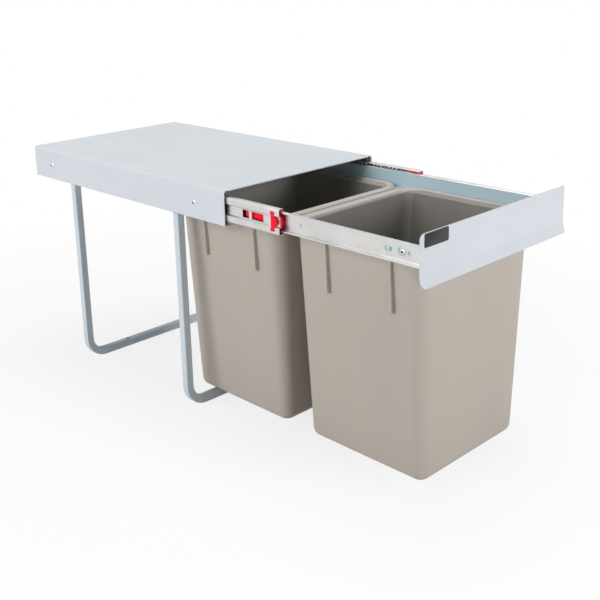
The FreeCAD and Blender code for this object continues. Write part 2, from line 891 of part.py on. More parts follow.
def all_nodes():
    """Every piece by name."""
    nodes = {"cover": make_cover()}
    nodes["floor_frame_front"] = make_floor_frame(-frame_spacing / 2)
    nodes["floor_frame_rear"] = make_floor_frame(frame_spacing / 2)
    nodes.update(both_sides("slide_outer", make_slide_outer()))
    nodes.update(both_sides("slide_middle", make_slide_middle()))
    nodes.update(both_sides("slide_inner", make_slide_inner()))
    nodes.update(both_sides("outer_cage", make_outer_cage()))
    nodes.update(both_sides("inner_cage", make_inner_cage()))
    nodes.update(both_sides("bumper", make_bumper()))
    nodes.update(both_sides("frame_side", make_frame_side()))
    outer_centres = ball_centres(outer_cage_y(), outer_ball_groups, outer_ball_u, outer_ball_v)
    inner_centres = ball_centres(inner_cage_y(), inner_ball_groups, inner_ball_u, inner_ball_v)
    nodes["outer_balls"] = make_balls(outer_centres)
    nodes["inner_balls"] = make_balls(inner_centres)
    nodes["frame_front"] = frame_end(drawer_front, 1)
    nodes["frame_back"] = frame_end(drawer_front + drawer_length, -1)
    nodes["front_panel"] = make_front_panel()
    nodes["bin_front"] = make_bin(first_bin_y)
    nodes["bin_rear"] = make_bin(second_bin_y)
    nodes["flange_screws"] = make_flange_screws()
    nodes["frame_screws"] = make_frame_screws()
    return nodes


os.makedirs("parts", exist_ok=True)
for name, shape in all_nodes().items():
    shape.exportStep("parts/" + name + ".step")
    print(name, len(shape.Solids), "solids", round(shape.Volume / 1000, 2), "cm3", shape.isValid())
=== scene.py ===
import bpy
import bmesh
import json
import math
from mathutils import Matrix, Vector


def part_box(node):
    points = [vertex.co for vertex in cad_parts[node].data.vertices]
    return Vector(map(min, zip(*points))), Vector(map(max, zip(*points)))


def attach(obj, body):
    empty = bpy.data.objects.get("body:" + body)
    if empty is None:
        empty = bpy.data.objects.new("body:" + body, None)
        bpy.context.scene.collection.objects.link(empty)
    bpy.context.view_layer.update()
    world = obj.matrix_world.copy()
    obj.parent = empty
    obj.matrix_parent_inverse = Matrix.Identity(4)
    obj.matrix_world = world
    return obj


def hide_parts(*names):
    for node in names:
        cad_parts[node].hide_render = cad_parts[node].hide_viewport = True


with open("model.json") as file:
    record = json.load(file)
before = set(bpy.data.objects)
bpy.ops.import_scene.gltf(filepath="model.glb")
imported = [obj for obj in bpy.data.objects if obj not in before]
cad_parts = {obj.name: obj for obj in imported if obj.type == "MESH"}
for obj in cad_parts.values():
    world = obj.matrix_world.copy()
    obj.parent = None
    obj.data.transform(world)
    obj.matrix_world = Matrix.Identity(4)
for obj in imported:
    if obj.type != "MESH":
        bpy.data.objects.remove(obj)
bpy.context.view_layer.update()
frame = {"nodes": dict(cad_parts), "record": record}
cadNodes = frame["nodes"]
scene = bpy.context.scene
print("cabinet bin: frame loaded with", len(cadNodes), "CAD nodes")


def paintColour(red, green, blue):
    # screen values from 0 to 255 as linear colour
    shares = [value / 255 for value in (red, green, blue)]
    return [share / 12.92 if share <= 0.04 else ((share + 0.055) / 1.055) ** 2.4
            for share in shares] + [1.0]


def tinted(colour, factor):
    return [min(1.0, value * factor) for value in colour[:3]] + [1.0]


class Finish:
    # a material with its node tree and the few links that each finish below repeats
    def __init__(self, name, roughness, metallic=0.0):
        self.material = bpy.data.materials.new(name)
        self.material.use_nodes = True
        self.tree = self.material.node_tree
        self.shader = self.tree.nodes["Principled BSDF"]
        self.shader.inputs["Metallic"].default_value = metallic
        self.shader.inputs["Roughness"].default_value = roughness
        self.coords = self.node("ShaderNodeTexCoord")

    def node(self, kind):
        return self.tree.nodes.new(kind)

    def link(self, start, end):
        self.tree.links.new(start, end)

    def stretched(self, scale):
        mapping = self.node("ShaderNodeMapping")
        mapping.inputs["Scale"].default_value = scale
        self.link(self.coords.outputs["Object"], mapping.inputs["Vector"])
        return mapping.outputs["Vector"]

    def noise(self, scale, detail=2.0, roughness=0.5, stretch=(1, 1, 1)):
        texture = self.node("ShaderNodeTexNoise")
        texture.inputs["Scale"].default_value = scale
        texture.inputs["Detail"].default_value = detail
        texture.inputs["Roughness"].default_value = roughness
        self.link(self.stretched(stretch), texture.inputs["Vector"])
        return texture.outputs["Fac"]

    def ramp(self, value, stops):
        # stops are pairs of a place from 0 to 1 and a grey value or a colour
        ramp = self.node("ShaderNodeValToRGB")
        points = ramp.color_ramp.elements
        while len(points) < len(stops):
            points.new(0.5)
        for point, (place, colour) in zip(points, stops):
            point.position = place
            point.color = colour if hasattr(colour, "__len__") else (colour, colour, colour, 1)
        self.link(value, ramp.inputs["Fac"])
        return ramp.outputs["Color"]

    def toneRamp(self, value, colour, stops):
        return self.ramp(value, [(place, tinted(colour, factor)) for place, factor in stops])

    def glossRamp(self, value, gloss, stops):
        return self.ramp(value, [(place, gloss + change) for place, change in stops])

    def mixed(self, share, first, second):
        mix = self.node("ShaderNodeMix")
        mix.data_type = "RGBA"
        # inputs 6 and 7 are the two colours
        sockets = (mix.inputs["Factor"], mix.inputs[6], mix.inputs[7])
        for socket, value in zip(sockets, (share, first, second)):
            if hasattr(value, "is_output"):
                self.link(value, socket)
            else:
                socket.default_value = value
        return mix.outputs[2]

    def bump(self, height, strength, distance):
        bump = self.node("ShaderNodeBump")
        bump.inputs["Strength"].default_value = strength
        bump.inputs["Distance"].default_value = distance
        self.link(height, bump.inputs["Height"])
        return bump.outputs["Normal"]

    def finish(self, colour, roughness, normal):
        self.link(colour, self.shader.inputs["Base Color"])
        self.link(roughness, self.shader.inputs["Roughness"])
        self.link(normal, self.shader.inputs["Normal"])
        return self.material


# In the three looks below a noise is given by its scale, detail, roughness and stretch. Tones pair
# a place on a ramp with a factor on the colour, and glosses with a change of roughness. A bump is
# its strength and its height in metres.
powderLook = {
    "shine": 0.35,
    "clouds": (7, 3), "cloudTones": ((0.3, 0.965), (0.7, 1.02)),
    "specks": (620, 1), "speckShares": ((0.7, 0.0), (0.76, 1.0)), "speckTone": 0.86,
    "wipes": (26, 4, 0.6, (1, 0.35, 1)), "wipeGloss": ((0.3, -0.05), (0.75, 0.09)),
    "peel": (420, 2), "peelBump": (0.16, 0.0004),
}


def powderPaint(name, colour, gloss=0.42):
    # smooth powder coat: fine orange peel, faint clouds of tone and a few dust specks
    look = powderLook
    paint = Finish(name, gloss)
    paint.shader.inputs["Specular IOR Level"].default_value = look["shine"]
    tone = paint.toneRamp(paint.noise(*look["clouds"]), colour, look["cloudTones"])
    specks = paint.ramp(paint.noise(*look["specks"]), look["speckShares"])
    tone = paint.mixed(specks, tone, tinted(colour, look["speckTone"]))
    wipes = paint.glossRamp(paint.noise(*look["wipes"]), gloss, look["wipeGloss"])
    peel = paint.bump(paint.noise(*look["peel"]), *look["peelBump"])
    return paint.finish(tone, wipes, peel)


zincLook = {
    "edgeTint": (0.7, 0.71, 0.7, 1),
    "clouds": (34, 4, 0.6), "cloudTones": ((0.3, 0.93), (0.7, 1.03)),
    "rolling": (900, 3, 0.6),           # its stretch is each plate's own
    "rollingShares": ((0.45, 0.0), (0.7, 0.25)), "rollingTone": 0.84,
    "rollingBump": (0.06, 0.0002),
    "wipeGloss": ((0.25, -0.05), (0.75, 0.08)),
}


def zincPlate(name, colour, along=(1, 0.04, 1), gloss=0.3):
    # bright zinc on rolled strip: lengthwise rolling lines and cloudy plating
    look = zincLook
    zinc = Finish(name, gloss, 1.0)
    zinc.shader.inputs["Specular Tint"].default_value = look["edgeTint"]
    clouds = zinc.noise(*look["clouds"])
    tone = zinc.toneRamp(clouds, colour, look["cloudTones"])
    rolling = zinc.noise(*look["rolling"], along)
    lines = zinc.ramp(rolling, look["rollingShares"])
    tone = zinc.mixed(lines, tone, tinted(colour, look["rollingTone"]))
    wipes = zinc.glossRamp(clouds, gloss, look["wipeGloss"])
    return zinc.finish(tone, wipes, zinc.bump(rolling, *look["rollingBump"]))


plasticLook = {
    "flow": (9, 3, 0.55, (1, 1, 0.12)), "flowPlaces": (0.3, 0.7),
    "grain": (2, 0.6),                  # its scale and its height are each plastic's own
    "grainShares": ((0.35, 0.0), (0.8, 0.22)), "grainTone": 0.84, "grainStrength": 0.3,
    "scuffs": (48, 5, 0.65), "scuffGloss": ((0.35, -0.05), (0.8, 0.1)),
}


def mouldedPlastic(name, colour, gloss, grain=1300, grainHeight=0.00012, streaks=0.03, shine=0.3):
    # moulded plastic: fine spark-eroded grain, faint upright flow streaks and soft scuffs
    look = plasticLook
    plastic = Finish(name, gloss)
    plastic.shader.inputs["Specular IOR Level"].default_value = shine
    flowTones = zip(look["flowPlaces"], (1 - streaks, 1 + streaks))
    tone = plastic.toneRamp(plastic.noise(*look["flow"]), colour, flowTones)
    fine = plastic.noise(grain, *look["grain"])
    pores = plastic.ramp(fine, look["grainShares"])
    tone = plastic.mixed(pores, tone, tinted(colour, look["grainTone"]))
    scuffs = plastic.glossRamp(plastic.noise(*look["scuffs"]), gloss, look["scuffGloss"])
    return plastic.finish(tone, scuffs, plastic.bump(fine, look["grainStrength"], grainHeight))


coverPaint = powderPaint("light blue grey powder paint", paintColour(210, 216, 222))
tubePaint = powderPaint("tube powder paint", paintColour(203, 214, 222), gloss=0.38)
drawerPaint = powderPaint("drawer powder paint", paintColour(194, 218, 229), gloss=0.4)
zincStrip = zincPlate("bright zinc strip", paintColour(214, 213, 211))
# painted shade: the outer members' zinc is darker to stand for the shade under the flange, though
# their plating is the same as the others'
shadedZinc = zincPlate("zinc darkened as painted shade", paintColour(138, 138, 136), gloss=0.34)
cageStrip = zincPlate("plain cage strip", paintColour(160, 158, 153), (1, 0.08, 1), gloss=0.38)
ballSteel = zincPlate("polished ball steel", paintColour(232, 232, 234), (1, 1, 1), gloss=0.12)
screwSteel = zincPlate("bright screw plating", paintColour(232, 231, 228), (1, 1, 1), gloss=0.24)
redPlastic = mouldedPlastic("red bumper plastic", paintColour(248, 4, 44), gloss=0.5,
                            grain=1500, grainHeight=0.00006, streaks=0.02, shine=0.2)
binPlastic = mouldedPlastic("warm grey bin plastic", paintColour(184, 176, 167), gloss=0.58,
                            shine=0.12)
rimPlastic = mouldedPlastic("smooth bin rim", paintColour(188, 181, 174), gloss=0.36,
                            grainHeight=0.00006, shine=0.5)
# painted shade: the bin's inside, and the inner part of the rim's funnel, are a darker copy of the
# bin plastic that stands for the shade inside the bin
shadedInsidePlastic = mouldedPlastic("bin inside painted shade", paintColour(152, 148, 142), gloss=0.52,
                               streaks=0.1, shine=0.14)
platePlastic = mouldedPlastic("dark plate plastic", paintColour(30, 29, 31), gloss=0.34,
                              grain=1700, grainHeight=0.00005, streaks=0.05)
# painted shade: the screw recesses are dark plastic that stands for the shade inside them
recessShade = mouldedPlastic("screw recess painted shade", paintColour(36, 35, 34), gloss=0.7,
                             grain=1700, grainHeight=0.00005, streaks=0.05)

slotFinishes = {
    "cover_paint": coverPaint,
    "tube_paint": tubePaint,
    "drawer_paint": drawerPaint,
    "zinc": zincStrip,
    "cage_steel": cageStrip,
    "ball_steel": ballSteel,
    "red_plastic": redPlastic,
    "bin_plastic": binPlastic,
    "screw_steel": screwSteel,
}
for part in frame["record"]["subparts"]:
    node = cadNodes[part["node"]]
    node.data.materials.clear()
    node.data.materials.append(slotFinishes[part["material_slot"]])
print("finishes given to the CAD nodes")

# places that several pieces below are measured from
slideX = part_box("slide_outer_right")[1].x
slideZ = sum(corner.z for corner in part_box("slide_outer_right")) / 2
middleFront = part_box("slide_middle_left")[0].y
sides = {"left": -1, "right": 1}
sharpTurn = 0.8             # radians between two faces; an edge that turns more is rounded
mergeReach = 0.000004       # corners of the CAD's loose triangles are joined within this
nearby = 0.00001            # two places count as one within this


def meshFrom(bm, name):
    mesh = bpy.data.meshes.new(name)
    bm.to_mesh(mesh)
    bm.free()
    return mesh


def keepPiece(name, mesh, finishes, body, replaced=(), smoothAngle=35):
    for finish in finishes:
        mesh.materials.append(finish)
    mesh.shade_smooth()
    mesh.set_sharp_from_angle(angle=math.radians(smoothAngle))
    piece = bpy.data.objects.new(name, mesh)
    scene.collection.objects.link(piece)
    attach(piece, body)
    if replaced:
        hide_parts(*replaced)
    return piece


def pick(items, kind):
    return [item for item in items if isinstance(item, kind)]


def eachOnce(items):
    # a dict keeps their order from run to run, which a set doesn't
    return list(dict.fromkeys(items))


def edgesOf(verts):
    return eachOnce(edge for vert in verts for edge in vert.link_edges)


def edgesAlong(edges, axis):
    # the edges whose ends differ along x, y or z, which are 0, 1 and 2
    return [edge for edge in edges if abs(edge.verts[0].co[axis] - edge.verts[1].co[axis]) > nearby]


def sharpEdges(bm):
    return [edge for edge in bm.edges if edge.calc_face_angle(0) > sharpTurn]


def roundEdges(bm, edges, reach, segments=2, clamp=True):
    bmesh.ops.bevel(bm, geom=edges, offset=reach, offset_type="OFFSET", segments=segments,
                    profile=0.5, affect="EDGES", clamp_overlap=clamp, material=-1)


def addBlock(bm, low, high):
    # a block between two corners, given in any order
    low, high = Vector(map(min, low, high)), Vector(map(max, low, high))
    place = Matrix.Translation((low + high) / 2) @ Matrix.Diagonal((*(high - low), 1))
    return bmesh.ops.create_cube(bm, size=1.0, matrix=place)["verts"]


def atSlide(side, depth, y, height):
    # depth runs from the flange towards the drawer, height from the slide's middle
    return Vector((side * (slideX - depth), y, slideZ + height))


def facingOut(side, spot):
    # a frame at the spot, whose z points away from the drawer
    return Matrix.Translation(spot) @ Matrix.Rotation(side * math.pi / 2, 4, "Y")


def lathe(bm, rings, place, segments):
    # rings are a radius, or a function of the angle, and a height; both ends are closed
    radius, height = rings[0]
    circle = bmesh.ops.create_circle(bm, cap_ends=True, radius=radius, segments=segments,
                                     matrix=place @ Matrix.Translation((0, 0, height)))
    loop = edgesOf(circle["verts"])
    back = place.inverted()
    faces = []
    for reach, height in rings[1:]:
        grown = bmesh.ops.extrude_edge_only(bm, edges=loop)["geom"]
        for vert in pick(grown, bmesh.types.BMVert):
            spot = back @ vert.co
            angle = math.atan2(spot.y, spot.x)
            radius = reach(angle) if callable(reach) else reach
            vert.co = place @ Vector((radius * math.cos(angle), radius * math.sin(angle), height))
        loop = pick(grown, bmesh.types.BMEdge)
        faces.append(pick(grown, bmesh.types.BMFace))
    return faces + [bmesh.ops.edgeloop_fill(bm, edges=loop)["faces"]]


binShape = {
    "wallTopHalf": (0.116, 0.103),      # inner skin at the rim
    "wallFootHalf": (0.0985, 0.0955),
    "wall": 0.002,
    "wallEnd": 0.0048,                  # the rim starts this far below its highest line
    "mouthCorner": 0.021,
    "footCorner": 0.013,
    "cornerSegments": 10,
    "footRound": 0.009,
    "footSegments": 6,
    "rimReach": (0.0155, 0.0146),
    # shares of the rim's reach, with drops below its highest line: flat and grooved at the front
    # and the back
    "endRim": ((0.015, 0.0032), (0.05, 0.0015), (0.1, 0.0006), (0.17, 0.0002), (0.27, 0.0006),
               (0.45, 0.0012), (0.64, 0.001), (0.78, 0.0003), (0.87, 0.0), (0.94, 0.0005),
               (0.98, 0.0016), (1.0, 0.0033), (1.0, 0.0067)),
    # along the sides the wall leans out in a funnel, up to a narrow lip
    "sideRim": ((0.1, 0.0041), (0.22, 0.0034), (0.34, 0.0028), (0.46, 0.0021), (0.57, 0.0014),
                (0.66, 0.0008), (0.73, 0.0003), (0.8, 0.0), (0.88, 0.0001), (0.94, 0.0005),
                (0.98, 0.0016), (1.0, 0.0033), (1.0, 0.0067)),
    "funnelEnd": 0.6,                   # share up to which the funnel has the inside's darker plastic, which is painted shade
}


def wayOut(place, centre):
    # the way out from the bin's middle, square to its rounded mouth
    halfX, halfY = (half - binShape["mouthCorner"] for half in binShape["wallTopHalf"])
    reachX = max(0.0, abs(place.x) - halfX)
    reachY = max(0.0, abs(place.y - centre) - halfY)
    way = Vector((math.copysign(reachX, place.x), math.copysign(reachY, place.y - centre), 0))
    return way.normalized()


def widenCorner(vert, centre):
    # the upright corners are wider at the mouth than at the foot
    small, large = binShape["footCorner"], binShape["mouthCorner"]
    halfX, halfY = binShape["wallTopHalf"]
    signX, signY = math.copysign(1, vert.co.x), math.copysign(1, vert.co.y - centre)
    turnX = (abs(vert.co.x) - (halfX - small)) / small
    turnY = (abs(vert.co.y - centre) - (halfY - small)) / small
    vert.co.x = signX * (halfX - large + large * max(0.0, turnX))
    vert.co.y = centre + signY * (halfY - large + large * max(0.0, turnY))


def binWalls(centre, foot, top):
    # an open box that narrows downwards, with rounded upright corners and foot
    bm = bmesh.new()
    bmesh.ops.create_cube(bm, size=2.0)
    for vert in bm.verts:
        half = binShape["wallTopHalf"] if vert.co.z > 0 else binShape["wallFootHalf"]
        height = top if vert.co.z > 0 else foot
        vert.co = Vector((vert.co.x * half[0], centre + vert.co.y * half[1], height))
    lid = [face for face in bm.faces if face.calc_center_median().z > top - nearby]
    bmesh.ops.delete(bm, geom=lid, context="FACES_ONLY")
    roundEdges(bm, edgesAlong(bm.edges, 2), binShape["footCorner"], binShape["cornerSegments"],
               clamp=False)
    for vert in bm.verts:
        if vert.co.z > top - nearby:
            widenCorner(vert, centre)
    footLoop = [edge for edge in bm.edges if max(vert.co.z for vert in edge.verts) < foot + nearby]
    roundEdges(bm, footLoop, binShape["footRound"], binShape["footSegments"], clamp=False)
    return bm


def drawRim(bm, centre, highest):
    # the rim is drawn outwards step by step from the wall's open edge
    reachX, reachY = binShape["rimReach"]
    loop = [edge for edge in bm.edges if edge.is_boundary]
    starts = {vert: vert.co.copy() for edge in loop for vert in edge.verts}
    for (endShare, endDrop), (sideShare, sideDrop) in zip(binShape["endRim"], binShape["sideRim"]):
        grown = bmesh.ops.extrude_edge_only(bm, edges=loop)["geom"]
        nextStarts = {}
        for vert in pick(grown, bmesh.types.BMVert):
            old = min(starts, key=lambda other: (other.co - vert.co).length)
            nextStarts[vert] = starts[old]
        for vert, start in nextStarts.items():
            way = wayOut(start, centre)
            sideways = way.x ** 2       # 1 along the sides, 0 at the front and the back
            share = endShare + (sideShare - endShare) * sideways
            drop = endDrop + (sideDrop - endDrop) * sideways
            vert.co = Vector((start.x + way.x * reachX * share, start.y + way.y * reachY * share,
                              highest - drop))
        starts = nextStarts
        # the funnel's inner faces take the inside's darker plastic as painted shade, the rest takes
        # the rim plastic
        for face in pick(grown, bmesh.types.BMFace):
            funnel = binShape["funnelEnd"] * wayOut(face.calc_center_median(), centre).x ** 2
            face.material_index = 0 if sideShare < funnel else 1
        loop = pick(grown, bmesh.types.BMEdge)


def binMesh(name, nodeName):
    low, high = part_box(nodeName)
    centre = (low.y + high.y) / 2
    bm = binWalls(centre, low.z + binShape["wall"], high.z - binShape["wallEnd"])
    drawRim(bm, centre, high.z)
    bmesh.ops.reverse_faces(bm, faces=bm.faces)
    return meshFrom(bm, name)


finShape = {
    "thickness": 0.003,
    "places": (-0.0625, 0.0425),        # along the bin from its middle
    "proud": (0.0046, 0.0064),          # past the wall at the top and at the foot
    "top": 0.0054,                      # below the rim's highest line
    "drop": 0.083,                      # from that line down to the fin's foot
    "toe": 0.0035,                      # rounding of the foot's outer corner
    "toeSegments": 3,
    "edge": 0.0007,
}


def finsMesh(name, nodeName):
    # two thin upright fins on each long side, which run down from under the rim
    low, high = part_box(nodeName)
    centre = (low.y + high.y) / 2
    wall = binShape["wall"]
    outerTop, outerFoot = (binShape[key][0] + wall for key in ("wallTopHalf", "wallFootHalf"))
    heights = (high.z - finShape["top"], high.z - finShape["drop"])
    walls = [outerTop + (outerFoot - outerTop) * (high.z - height) / (high.z - low.z)
             for height in heights]
    half = finShape["thickness"] / 2
    bm = bmesh.new()
    for side in sides.values():
        for place in finShape["places"]:
            y = centre + place
            # x is 0 for the fin's root in the wall and 1 for its outer edge
            verts = addBlock(bm, (0, y - half, heights[1]), (1, y + half, heights[0]))
            for vert in verts:
                end = 0 if vert.co.z > sum(heights) / 2 else 1
                proud = finShape["proud"][end] if vert.co.x > 0.5 else -wall / 2
                vert.co.x = side * (walls[end] + proud)
            toe = [edge for edge in edgesOf(verts)
                   if all(vert.co.z < heights[1] + nearby and abs(vert.co.x) > walls[1]
                          for vert in edge.verts)]
            roundEdges(bm, toe, finShape["toe"], finShape["toeSegments"])
    roundEdges(bm, sharpEdges(bm), finShape["edge"])
    bmesh.ops.recalc_face_normals(bm, faces=bm.faces)
    return meshFrom(bm, name)


for end in ("front", "rear"):
    body, nodeName = f"{end}_bin", f"bin_{end}"
    # the shell's inner skin takes the darker inside plastic, which is painted shade
    shell = keepPiece(f"{body}_shell", binMesh(f"{body}_shell", nodeName),
                      [shadedInsidePlastic, rimPlastic, binPlastic], body, [nodeName],
                      smoothAngle=40)
    wall = shell.modifiers.new("wall", "SOLIDIFY")
    wall.thickness = binShape["wall"]
    wall.offset = -1
    wall.use_even_offset = True
    wall.material_offset = 2            # the outside and the wall's edge are binPlastic
    wall.material_offset_rim = 2
    keepPiece(f"{body}_fins", finsMesh(f"{body}_fins", nodeName), [binPlastic],
              body, smoothAngle=30)
print("bins made")

ballShape = {"radius": 0.0018, "subdivisions": 2}


def ballsMesh(name, nodeName):
    # one round ball in the middle of each faceted one
    source = bmesh.new()
    source.from_mesh(cadNodes[nodeName].data)
    bmesh.ops.remove_doubles(source, verts=source.verts, dist=mergeReach)
    bm = bmesh.new()
    found = set()
    for first in source.verts:
        if first in found:
            continue
        island = [first]
        found.add(first)
        for vert in island:             # the list grows by the neighbours until the ball is whole
            others = [edge.other_vert(vert) for edge in vert.link_edges]
            fresh = [other for other in others if other not in found]
            island += fresh
            found.update(fresh)
        middle = sum((vert.co for vert in island), Vector()) / len(island)
        bmesh.ops.create_icosphere(bm, subdivisions=ballShape["subdivisions"],
                                   radius=ballShape["radius"], matrix=Matrix.Translation(middle))
    source.free()
    return meshFrom(bm, name)


for stage in ("inner", "outer"):
    name, nodeName = f"{stage}_stage_balls", f"{stage}_balls"
    keepPiece(name, ballsMesh(name, nodeName), [ballSteel], f"{stage}_cages",
              [nodeName], smoothAngle=80)
print("balls made")

bumperShape = {
    # depths from the flange, lengths from the middle member's front end, heights from its middle
    "tongue": {"depths": (0.0072, 0.0087), "ys": (0.001, 0.0685), "heights": (-0.0046, 0.006),
               "corner": 0.001},
    "plate": {"depths": (0.00555, 0.00605), "ys": (0.0, 0.005), "heights": (-0.01595, 0.01595),
              "corner": 0.001},
    "cornerPieces": {"depths": (0.00555, 0.0094), "ys": (-0.0006, 0.02),
                     "heights": (0.01325, 0.01595)},
    "nose": {"depths": (0.00555, 0.0098), "ys": (-0.0012, 0.005), "half": 0.0105, "cuts": 15,
             "least": 0.0004, "endShare": 0.3},
    "clipEnds": {"depths": (0.00125, 0.0018), "ys": (0.0082, 0.0157), "heights": (0.009, 0.0132),
                 "corner": 0.0014},
    "clipWaist": {"depths": (0.00133, 0.00205), "ys": (0.0086, 0.0146),
                  "heights": (-0.0125, 0.0125), "corner": 0.001},
    # rings are a share of the radius and a height towards the flange
    "clipDisc": {"depth": 0.00405, "y": 0.0087, "radius": 0.0058, "segments": 40,
                 "rings": ((0.9, 0.0), (1.0, 0.0002), (1.0, 0.00226), (0.97, 0.00256),
                           (0.9, 0.00276))},
    "neck": {"depths": (0.0016, 0.0075), "ys": (0.0092, 0.0142), "heights": (-0.003, 0.003)},
    "cornerSegments": 4,
    "edge": 0.00022,
}


def noseShape(side):
    # a lens that bulges between the races, deepest at the slide's middle
    nose = bumperShape["nose"]
    back, far = nose["depths"]
    half, least = nose["half"], nose["least"]
    bm = bmesh.new()
    verts = addBlock(bm, atSlide(side, back, middleFront + nose["ys"][0], -half),
                     atSlide(side, far, middleFront + nose["ys"][1], half))
    bmesh.ops.subdivide_edges(bm, edges=edgesAlong(edgesOf(verts), 2), cuts=nose["cuts"],
                              use_grid_fill=True)
    for vert in bm.verts:
        bulge = 1 - ((vert.co.z - slideZ) / half) ** 2
        if slideX - abs(vert.co.x) > (back + far) / 2:
            vert.co.x = side * (slideX - back - least - (far - back - least) * bulge)
        if vert.co.y < middleFront:
            proud = nose["endShare"] + (1 - nose["endShare"]) * bulge
            vert.co.y = middleFront + nose["ys"][0] * proud
    rim = [edge for edge in sharpEdges(bm) if all(vert.co.y < middleFront for vert in edge.verts)]
    roundEdges(bm, rim, bumperShape["edge"])
    return bm


def addBumperBlock(bm, side, shape, way=1):
    # corner rounds the block's outline as seen from the side, and a way of -1 turns it over
    corners = [atSlide(side, depth, middleFront + y, way * height)
               for depth, y, height in zip(shape["depths"], shape["ys"], shape["heights"])]
    block = bmesh.new()
    verts = addBlock(block, *corners)
    if "corner" in shape:
        roundEdges(block, edgesAlong(edgesOf(verts), 0), shape["corner"],
                   bumperShape["cornerSegments"])
    roundEdges(block, sharpEdges(block), bumperShape["edge"])
    mesh = meshFrom(block, "block")
    bm.from_mesh(mesh)
    bpy.data.meshes.remove(mesh)


def bumperMesh(name, side):
    bm = noseShape(side)
    for key in ("tongue", "plate", "clipWaist", "neck"):
        addBumperBlock(bm, side, bumperShape[key])
    for key in ("cornerPieces", "clipEnds"):
        for way in (-1, 1):
            addBumperBlock(bm, side, bumperShape[key], way)
    disc = bumperShape["clipDisc"]
    place = facingOut(side, atSlide(side, disc["depth"], middleFront + disc["y"], 0))
    rings = [(disc["radius"] * share, height) for share, height in disc["rings"]]
    lathe(bm, rings, place, disc["segments"])
    bmesh.ops.recalc_face_normals(bm, faces=bm.faces)
    return meshFrom(bm, name)


for sideName, side in sides.items():
    name = f"red_bumper_{sideName}"
    keepPiece(name, bumperMesh(name, side), [redPlastic], "middle",
              [f"bumper_{sideName}"], smoothAngle=40)
print("bumpers made")

screwShape = {
    "segments": 32,
    "flange": {"seat": 0.149, "shank": 0.002, "length": 0.0024, "head": 0.004, "height": 0.0024},
    "lock": {"seat": 0.1351, "shank": 0.002, "length": 0.0012, "head": 0.0038, "height": 0.0018},
    # shares of the head's radius and height from the seat to the crown
    "crown": ((1.0, 0.0), (1.0, 0.3), (0.97, 0.5), (0.88, 0.7), (0.74, 0.86), (0.58, 0.95)),
    "crossArm": 0.5,                    # reach of the recess's arms, a share of the head's radius
    "crossHalf": 0.207,                 # their half width, such a share too
    "crossDepth": 0.62,                 # share of the head's height
    "crossFoot": 0.72,                  # size of the recess's floor against its mouth
}


def crossReach(angle, size):
    # outline of a cross recess, by the angle round the screw
    arm = size * screwShape["crossArm"]
    half = size * screwShape["crossHalf"]
    turned = abs((angle + math.pi / 4) % (math.pi / 2) - math.pi / 4)
    return arm / math.cos(turned) if math.tan(turned) <= half / arm else half / math.sin(turned)


def addScrew(bm, kind, side, y):
    shape = screwShape[kind]
    head, height = shape["head"], shape["height"]
    rings = [(shape["shank"], -shape["length"]), (shape["shank"], 0.0)]
    rings += [(head * radius, height * rise) for radius, rise in screwShape["crown"]]
    rings += [(lambda angle: crossReach(angle, head), height),
              (lambda angle: crossReach(angle, head * screwShape["crossFoot"]),
               height * (1 - screwShape["crossDepth"]))]
    place = facingOut(side, (side * shape["seat"], y, slideZ))
    faces = lathe(bm, rings, place, screwShape["segments"])
    for face in faces[-1] + faces[-2]:      # the recess's floor and walls, painted dark to stand for the shade in the recess
        face.material_index = 1


def screwsMesh(name, kind, nodeName):
    # one screw at each of the CAD node's screws, found from its ends
    low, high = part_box(nodeName)
    head = screwShape[kind]["head"]
    bm = bmesh.new()
    for side in sides.values():
        for y in (low.y + head, high.y - head):
            addScrew(bm, kind, side, y)
    bmesh.ops.recalc_face_normals(bm, faces=bm.faces)
    return meshFrom(bm, name)


for kind, nodeName, body in (("flange", "flange_screws", "base"),
                             ("lock", "frame_screws", "drawer")):
    name = f"{kind}_screw_set"
    # the second finish paints the shade in the screws' recesses
    keepPiece(name, screwsMesh(name, kind, nodeName), [screwSteel, recessShade],
              body, [nodeName], smoothAngle=30)
print("screws made")

plateShape = {
    "left": -0.142,
    "width": 0.0435,
    "top": 0.0004,              # below the panel's top edge
    "height": 0.0165,
    "thick": 0.0006,
    "corner": 0.002,
    "cornerSegments": 5,
    "edge": 0.0002,
    "panelThick": 0.0015,       # the panel lies this much before the drawer sides' front ends
}


def labelPlate():
    # the plain dark plate near the panel's upper left corner
    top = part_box("front_panel")[1].z - plateShape["top"]
    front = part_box("frame_side_left")[0].y - plateShape["panelThick"]
    left, thick = plateShape["left"], plateShape["thick"]
    bm = bmesh.new()
    verts = addBlock(bm, (left, front - thick, top - plateShape["height"]),
                     (left + plateShape["width"], front, top))
    across = edgesAlong(edgesOf(verts), 1)
    roundEdges(bm, across, plateShape["corner"], plateShape["cornerSegments"])
    rim = [edge for edge in sharpEdges(bm)
           if all(vert.co.y < front - thick / 2 for vert in edge.verts)]
    roundEdges(bm, rim, plateShape["edge"])
    return meshFrom(bm, "plain_label_plate")


keepPiece("plain_label_plate", labelPlate(), [platePlastic], "drawer")
print("plate made")

# the middle members' arms, which reach over the inner balls
armShape = {
    "depth": 0.0095,            # where they start, from the flange
    "height": 0.0161,           # where they are cut off, from the slide's middle
}


